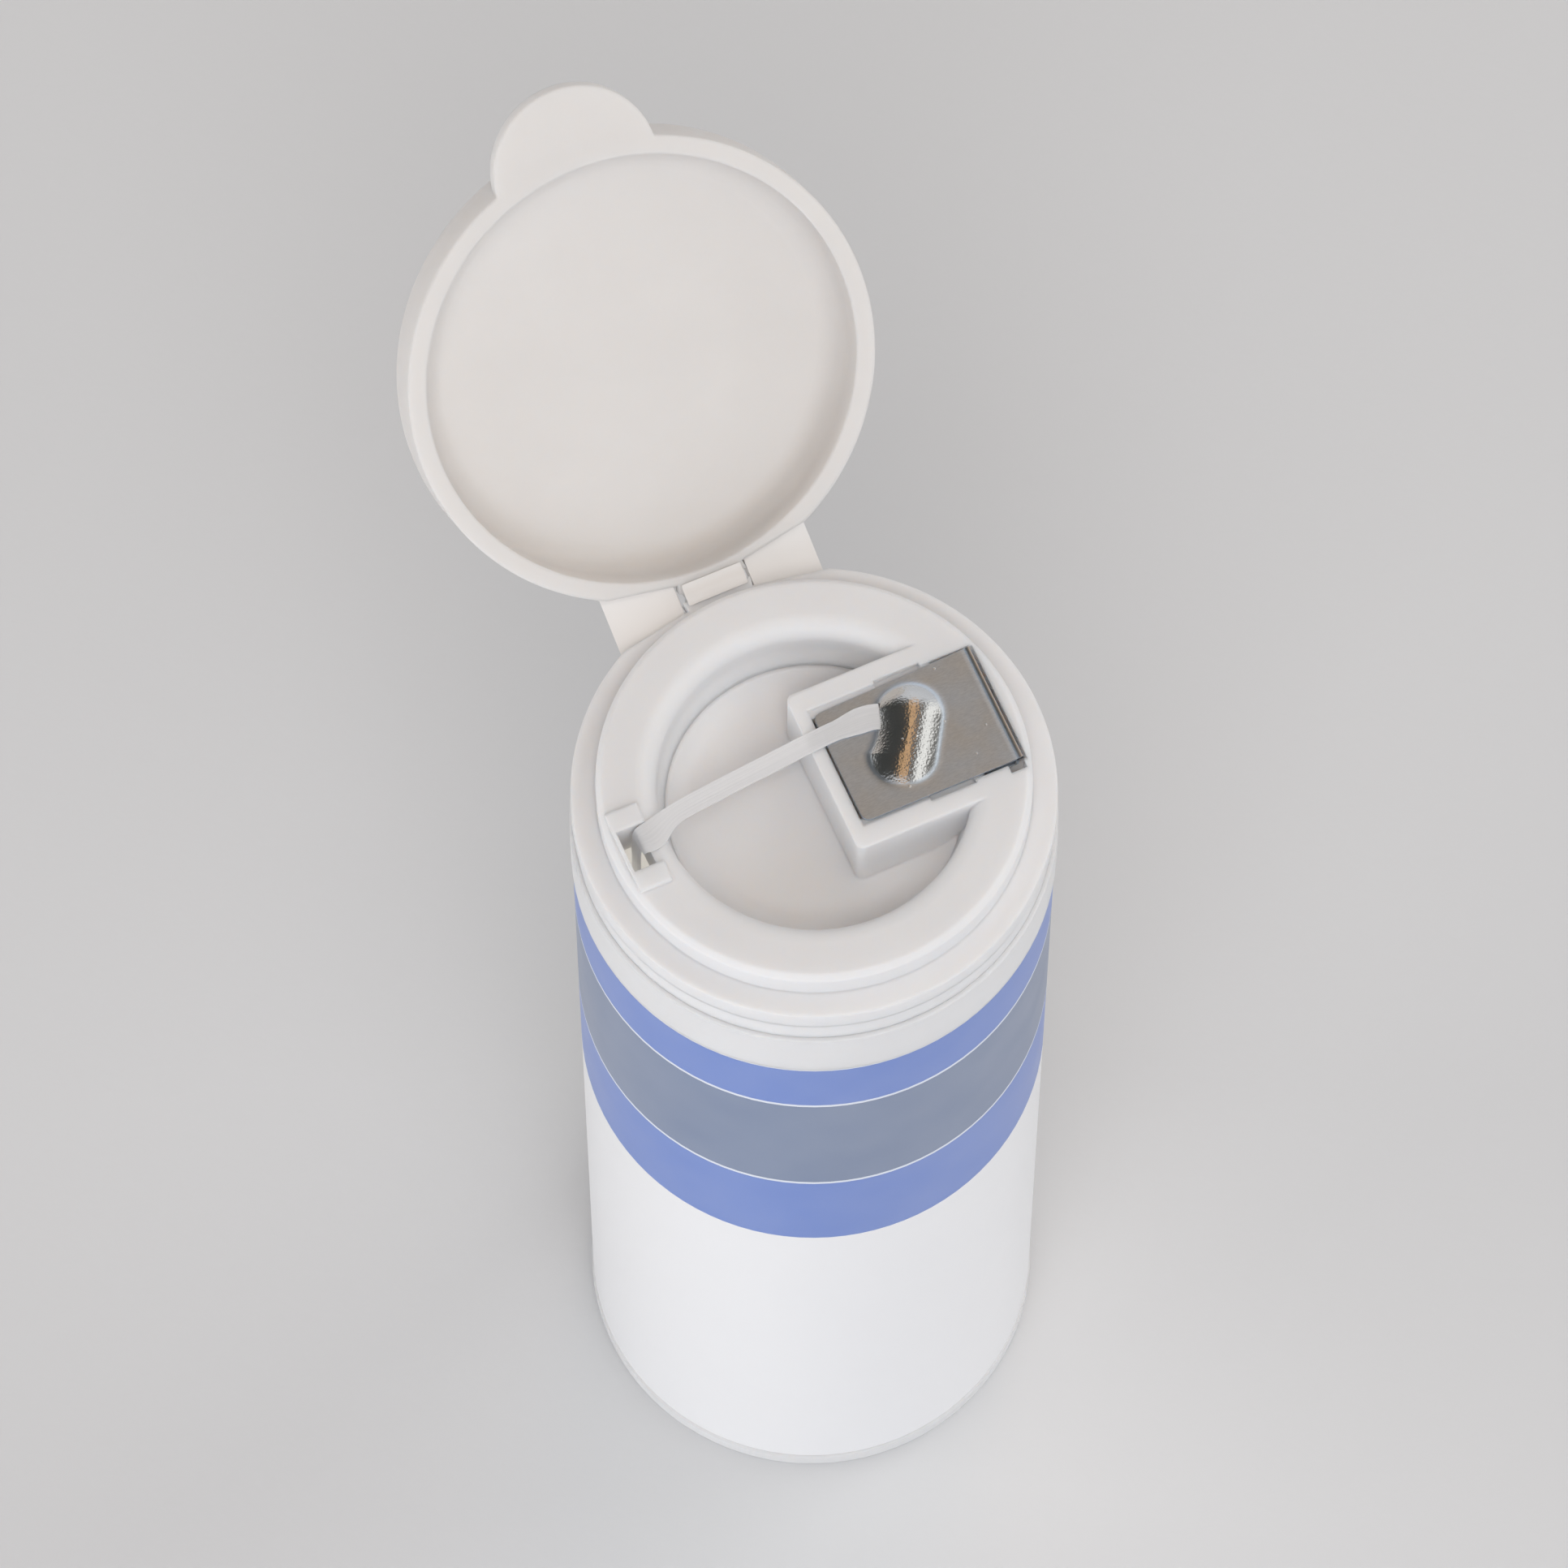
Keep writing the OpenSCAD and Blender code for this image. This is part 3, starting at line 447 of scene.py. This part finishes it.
# Points of its route from the rim in millimetres, each with its width's direction
ROUTE = (
    ((-6.6, -14.2, -62), (0.2, -0.1, 1)), ((-9.4, -12.6, -60.8), (0.2, -0.1, 1)),
    ((-11.8, -10.4, -59), (0.4, -0.3, 1)), ((-13.4, -8.3, -56), (0.8, -0.8, 1)),
    ((-14.3, -6.8, -51), (0.6, -1, 0.4)), ((-15, -5.2, -42), (0.4, -1, 0.2)),
    ((-15.8, -2.6, -25), (0.2, -1, 0.1)), ((-16.5, 0.2, -9), (0, -1, 0)), ((-16.4, 0.7, -2), (0, -1, 0)),
    ((-16.3, 0.85, 1.4), (0, -1, 0)), ((-16.1, 0.9, 2.6), (0, -1, 0)), ((-15.8, 0.92, 3.02), (0, -1, 0)),
    ((-15.35, 0.95, 3.16), (0.05, -1, 0)), ((-14.6, 1.12, 3.17), (0.08, -1, 0)),
    ((-12, 1.7, 3.16), (0.08, -1, 0)), ((-8, 2.15, 3.15), (0.08, -1, 0)),
    ((-3.5, 2.56, 3.14), (0.08, -1, 0)), ((0.3, 2.9, 3.15), (0.05, -1, 0)),
    ((1.8, 2.98, 3.21), (0.05, -1, 0)), ((2.6, 3.02, 3.27), (0, -1, 0)), ((4.2, 3.05, 3.27), (0, -1, 0)),
    ((5.6, 3.05, 3.28), (-0.1, -1, 0)), ((6.6, 2.95, 3.3), (-0.2, -1, 0)),
    ((7.4, 2.7, 3.32), (-0.4, -1, 0)),
)


def on_route(share):
    """Place and width direction at a share of the route, on a curve through its points."""
    spot = share * (len(ROUTE) - 1)
    i = min(int(spot), len(ROUTE) - 2)
    f = spot - i
    ends = [ROUTE[min(max(k, 0), len(ROUTE) - 1)] for k in (i - 1, i, i + 1, i + 2)]
    out = []
    for part in (0, 1):
        a, b, c, d = (Vector(e[part]) for e in ends)
        out.append(b + ((c - a) * f + (2 * a - 5 * b + 4 * c - d) * f ** 2
                        + (3 * b - a - 3 * c + d) * f ** 3) / 2)
    return out[0], out[1].normalized()


def floss_tape(tape):
    bpy.ops.mesh.primitive_grid_add(x_subdivisions=6, y_subdivisions=220, size=1, calc_uvs=True)
    piece = bpy.context.object
    for v in piece.data.vertices:
        u, share = v.co.x * 2, v.co.y + 0.5
        place, wide = on_route(share)
        ahead = on_route(min(share + 0.002, 1))[0] - on_route(max(share - 0.002, 0))[0]
        ahead.normalize()
        wide = (wide - ahead * wide.dot(ahead)).normalized()
        out = ahead.cross(wide)
        if out.z < 0:
            out = -out
        # The tape spreads where it is pressed against the dome's mouth
        half = TAPE_HALF + TAPE_SPREAD * min(max((place.x - 3.5) / 2, 0), 1)
        # It fans out on the lip of the outlet, towards the front
        fan = TAPE_FAN * math.exp(-((place.x + 15) / 1.6) ** 2) * (1 if place.z > 2.4 else 0)
        half += fan
        place.y -= fan
        cup = TAPE_CUP * (u * u - 0.4)
        v.co = (place + wide * u * half + out * cup + Vector((0, 0, RIM_Z / MM))) * MM
    thick = piece.modifiers.new("film", "SOLIDIFY")
    thick.thickness = TAPE_THICK * MM
    thick.offset = 0
    return finish_mesh(piece, "floss_tape", tape, 50)


# Film of the living hinge: points of its section behind and above the hinge line, width and thickness
WEB = ((-0.85, 0.015), (-0.6, 0.1), (-0.38, 0.26), (-0.16, 0.38), (0.08, 0.44), (0.34, 0.5), (0.62, 0.6),
       (0.9, 0.86))
WEB_WIDTH, WEB_THICK = 5.6, 0.05


def hinge_film(plastic):
    steps = len(WEB) - 1
    bpy.ops.mesh.primitive_grid_add(x_subdivisions=24, y_subdivisions=steps, size=1)
    piece = bpy.context.object
    for v in piece.data.vertices:
        back, up = WEB[round((v.co.y + 0.5) * steps)]
        v.co = (v.co.x * WEB_WIDTH * MM, (HINGE_Y + back) * MM, RIM_Z + up * MM)
    round_off = piece.modifiers.new("soft_fold", "SUBSURF")
    round_off.levels = 2
    thick = piece.modifiers.new("film", "SOLIDIFY")
    thick.thickness = WEB_THICK * MM
    thick.offset = 1
    return finish_mesh(piece, "hinge_film", plastic, 50)


# Winding: the turned package of tape on the bobbin
def floss_package(wound):
    """A ring with a slightly ribbed side, for the turns, and a tapered upper end."""
    low, high, taper = 3.53 * MM, 58.67 * MM, 4 * MM
    inner, outer, neck = 9.03 * MM, 15.4 * MM, 10.6 * MM
    ribs, rib_depth = 54, 0.12 * MM
    bpy.ops.mesh.primitive_circle_add(vertices=128, radius=inner, location=(0, 0, low))
    piece = bpy.context.object
    bpy.ops.object.transform_apply(location=True)
    foot, top = low + 0.4 * MM, high - taper
    rows = [(outer - 0.3 * MM, low), (outer, foot)]
    for k in range(1, ribs):
        rows.append((outer - rib_depth * (k % 2), foot + (top - foot) * k / ribs))
    rows += [(outer - 0.2 * MM, top), ((outer + neck) / 2 + 0.3 * MM, high - taper * 0.55),
             (neck + 0.3 * MM, high - 0.3 * MM), (neck, high), (inner, high)]
    bpy.ops.object.mode_set(mode="EDIT")
    bpy.ops.mesh.select_all(action="SELECT")
    r0, z0 = inner, low
    for r, z in rows:
        bpy.ops.mesh.extrude_region_move(TRANSFORM_OT_translate={"value": (0, 0, z - z0)})
        bpy.ops.transform.resize(value=(r / r0, r / r0, 1), center_override=(0, 0, z))
        r0, z0 = r, z
    bpy.ops.mesh.select_all(action="SELECT")
    bpy.ops.mesh.select_non_manifold()
    bpy.ops.mesh.bridge_edge_loops()
    bpy.ops.mesh.select_all(action="SELECT")
    bpy.ops.mesh.normals_make_consistent(inside=False)
    bpy.ops.uv.cylinder_project(direction="ALIGN_TO_OBJECT", correct_aspect=False, scale_to_bounds=True)
    return finish_mesh(piece, "floss_package", wound, 40)


# Studio: a pale tent all round, with cards overhead side by side that the metal mirrors
ACROSS, ALONG, UP = (-0.844, 0.536, 0), (0.536, 0.844, 0), (0, 0, 1)
# Places across the tent from 0 to 1, and tones: grey end, bright strip, gap, warm card, dark flag and
# pale end
CARDS = ((0.06, "#6a6a69"), (0.12, "#6a6a69"), (0.15, "#f2f4f4"), (0.25, "#f4f6f6"), (0.3, "#4c4e50"),
         (0.385, "#4c4d4e"), (0.42, "#d2ac84"), (0.515, "#caa57c"), (0.55, "#393b3b"), (0.92, "#393b3b"),
         (0.97, "#d2d5d8"))
TENT_GLOW = 1.46
# Name, place, size, watts and colour of each lamp. No surface mirrors the lamps
LAMPS = (("left", (-0.9, 0.15, 0.2), 0.6, 3.2, "#fffdfa"),
         ("right", (0.9, 0.0, 0.35), 0.6, 1.6, "#fffefc"),
         ("top", (-0.2, -0.4, 1.0), 0.5, 3.3, "#fffffe"),
         ("front", (-0.1, -0.95, 0.4), 0.7, 1.2, "#fdfdff"))
LAMPS_AIM = Vector((0, 0, 0.11))


def paper_floor():
    """Pale matt paper with a fine tooth, which melts into an even haze far from the object."""
    m = blank("pale_paper_floor")
    place = add(m, "TexCoord").outputs["Object"]
    reach = add(m, "VectorMath", {0: place}, operation="LENGTH")
    far = band(m, reach.outputs["Value"], 0.5, 2.0)
    tooth = add(m, "TexNoise", {"Vector": place, "Scale": 900, "Detail": 2})
    relief = add(m, "Bump", {"Strength": 0.2, "Distance": 0.0001, "Height": tooth.outputs["Fac"]})
    paper = add(m, "BsdfPrincipled", {"Base Color": linear("#dadbdd"), "Roughness": 0.85,
                                      "Specular IOR Level": 0.2, "Normal": relief.outputs["Normal"]})
    haze = add(m, "Emission", {"Color": linear("#e2e3e5"), "Strength": 1})
    both = add(m, "MixShader", {0: far, 1: paper.outputs[0], 2: haze.outputs[0]})
    add(m, "OutputMaterial", {"Surface": both.outputs[0]})
    return m


def light_tent():
    world = bpy.data.worlds.new("light_tent")
    world.use_nodes = True
    world.node_tree.nodes.clear()
    way = add(world, "TexCoord").outputs["Generated"]
    across, along, up = (
        add(world, "VectorMath", {0: way, 1: axis}, operation="DOT_PRODUCT").outputs["Value"]
        for axis in (ACROSS, ALONG, UP))
    place = add(world, "MapRange", {"Value": across, "From Min": -1})
    cards = ramp(world, place.outputs["Result"], CARDS)
    tent = add(world, "Mix", {0: band(world, up, 0.1, 0.5), 6: linear("#b9bdc3"), 7: linear("#c5c9cf")},
               data_type="RGBA")
    # The cards end softly along the dome and above the floor
    wide = add(world, "Math", {0: band(world, along, -0.7, -0.5),
                               1: band(world, along, 0.66, 0.8, 1, 0)}, operation="MULTIPLY")
    spread = add(world, "Math", {0: wide.outputs[0], 1: band(world, up, 0.03, 0.12)},
                 operation="MULTIPLY")
    whole = add(world, "Mix", {0: spread.outputs[0], 6: tent.outputs[2], 7: cards}, data_type="RGBA")
    glow = add(world, "Background", {"Color": whole.outputs[2], "Strength": TENT_GLOW})
    add(world, "OutputWorld", {"Surface": glow.outputs[0]})
    return world


def studio():
    scene = bpy.context.scene
    scene.view_settings.view_transform = "Standard"
    bpy.ops.mesh.primitive_circle_add(vertices=128, radius=3, fill_type="NGON", location=(0, 0, 0))
    floor = bpy.context.object
    floor.name = "floor"
    floor.data.materials.append(paper_floor())
    scene.world = light_tent()
    for name, spot, size, watts, tint in LAMPS:
        bpy.ops.object.light_add(type="AREA", location=spot)
        lamp = bpy.context.object
        lamp.name = name
        lamp.visible_glossy = False
        lamp.data.size = size
        lamp.data.energy = watts
        lamp.data.color = linear(tint)[:3]
        lamp.rotation_euler = (LAMPS_AIM - Vector(spot)).to_track_quat("-Z", "Y").to_euler()


place_camera()

# The straps and the film are the lid's plastic, painted paler: painted light, standing for the light
# that shines through such thin plastic
cap_plastic = moulded_polypropylene("moulded_white_polypropylene", "#e7e7e8", "#e1e1e3",
                                    rough=0.36, glow=0.9, depth=1.5, grain=0.003, soften=0.4)
lid_plastic = moulded_polypropylene("moulded_natural_polypropylene", "#dcd9d7", "#d6d3d1",
                                    rough=0.32, glow=0.7, depth=3, grain=0.003, soften=0.4)
# Painted light: a paler copy of the lid's plastic for the thin straps and film
hinge_plastic_painted_paler = moulded_polypropylene("thin_hinge_polypropylene_painted_paler", "#ece9e7", "#e6e3e1",
                                      rough=0.33, glow=0.0, depth=0.1, grain=0.002, soften=0.05)
bottle_plastic = moulded_polypropylene("gloss_white_polypropylene", "#e4e4e6", "#dededf",
                                       rough=0.34, glow=0.6, depth=3, grain=0.001, soften=0.3, soak=0.32)
bobbin_plastic = moulded_polypropylene("plain_bobbin_polypropylene", "#dedbd5", "#d5d2cb",
                                       rough=0.42, glow=0.4, depth=3, grain=0.006, soften=0.2)
film = printed_film_label()
steel = rolled_stainless_steel()
tape = expanded_ptfe_tape()
wound = wound_ptfe_tape()

for node_name, finish in (("bottle", bottle_plastic), ("label", film), ("cap", cap_plastic),
                          ("lid", lid_plastic), ("left_strap", hinge_plastic_painted_paler),
                          ("right_strap", hinge_plastic_painted_paler), ("bobbin", bobbin_plastic)):
    nodes[node_name].data.materials.clear()
    nodes[node_name].data.materials.append(finish)

plate = cutter_plate(steel)
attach(plate, "container")
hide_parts("cutter")

strand = floss_tape(tape)
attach(strand, "container")
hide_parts("floss_strand")

web = hinge_film(hinge_plastic_painted_paler)
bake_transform(web)

package = floss_package(wound)
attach(package, "spool")
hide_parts("floss_winding")

studio()
